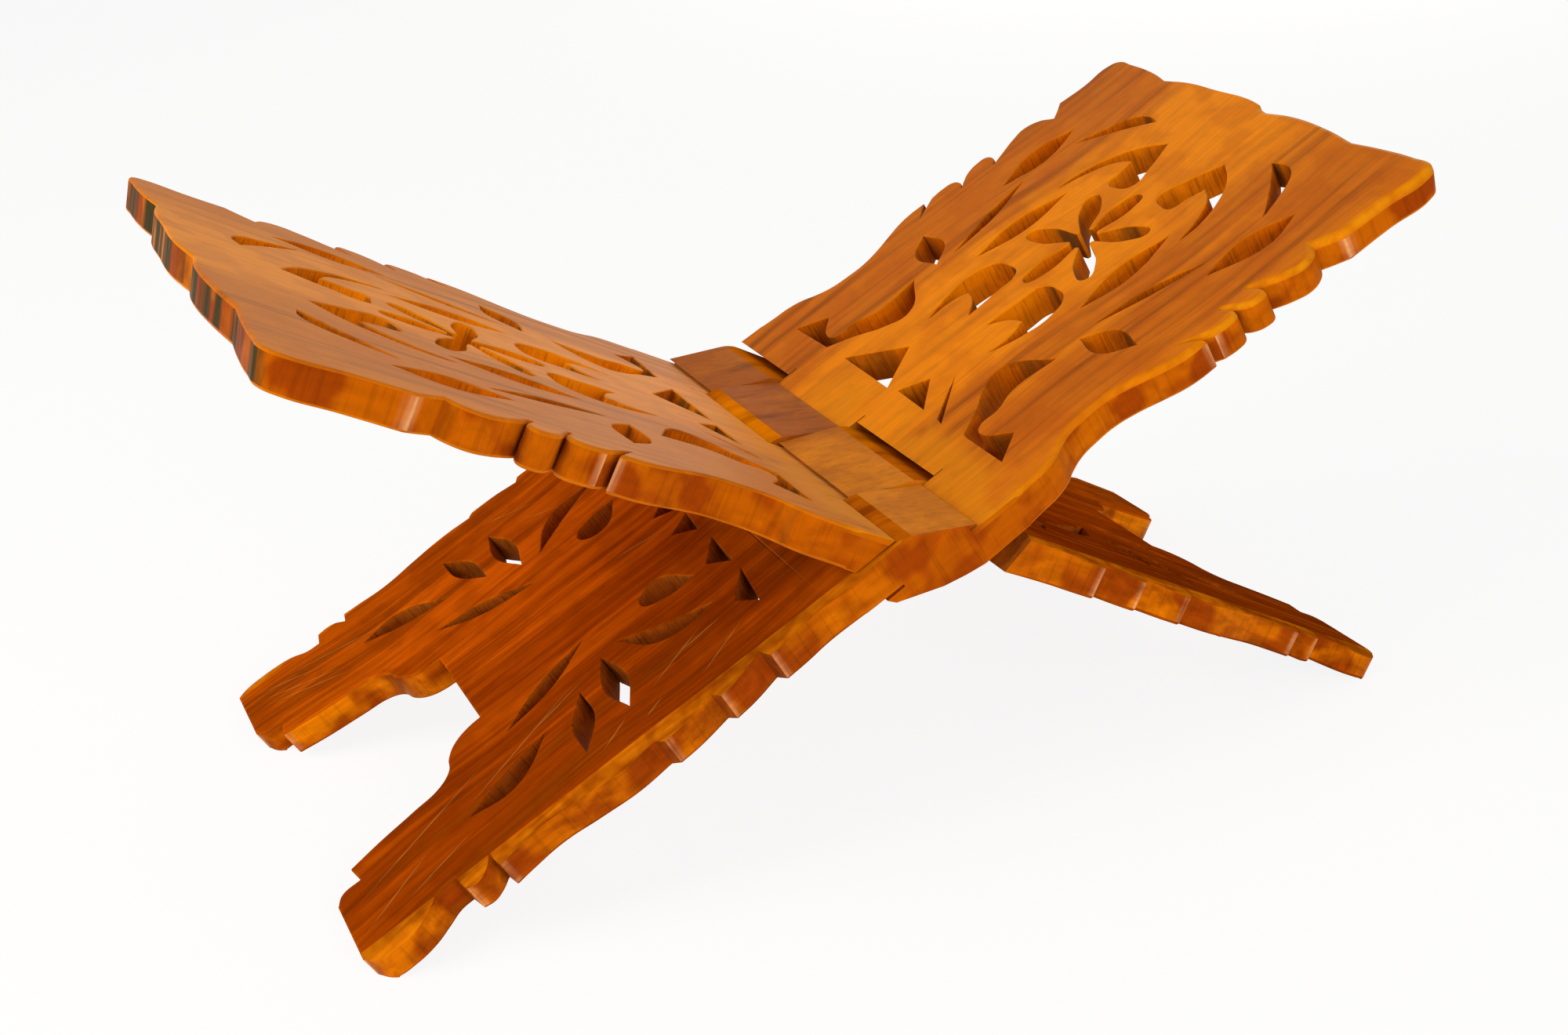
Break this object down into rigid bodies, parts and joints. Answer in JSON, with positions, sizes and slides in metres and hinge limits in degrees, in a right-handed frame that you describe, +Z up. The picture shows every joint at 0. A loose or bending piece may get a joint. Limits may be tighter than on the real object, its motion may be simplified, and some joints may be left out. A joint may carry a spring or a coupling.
{
  "type": "folding book stand",
  "caption": "Folding wooden book stand: fretted leaves crossed in an X, joined by interlocking wooden knuckles cut from one plank, with arched feet and a V-shaped cradle for an open book.",
  "frame": {"origin": "on the floor, below the middle of the opened stand's bounding box", "axes": "+Z up, +Y along the hinge axis away from the near end, +X across the opened leaves towards the right book rest"},
  "size_m": [0.3672, 0.1875, 0.1859],
  "materials": {
    "left_leaf": "oiled",
    "right_leaf": "oiled"
  },
  "bodies": {
    "left_leaf": {"left_leaf": "left_leaf"},
    "right_leaf": {"right_leaf": "right_leaf"}
  },
  "joints": [
    {"name": "leaf_hinge", "type": "hinge", "parent": "left_leaf", "child": "right_leaf", "pos_m": [0, 0, 0.09032], "axis": [0, -1, 0], "range_deg": [0, 124]}
  ]
}
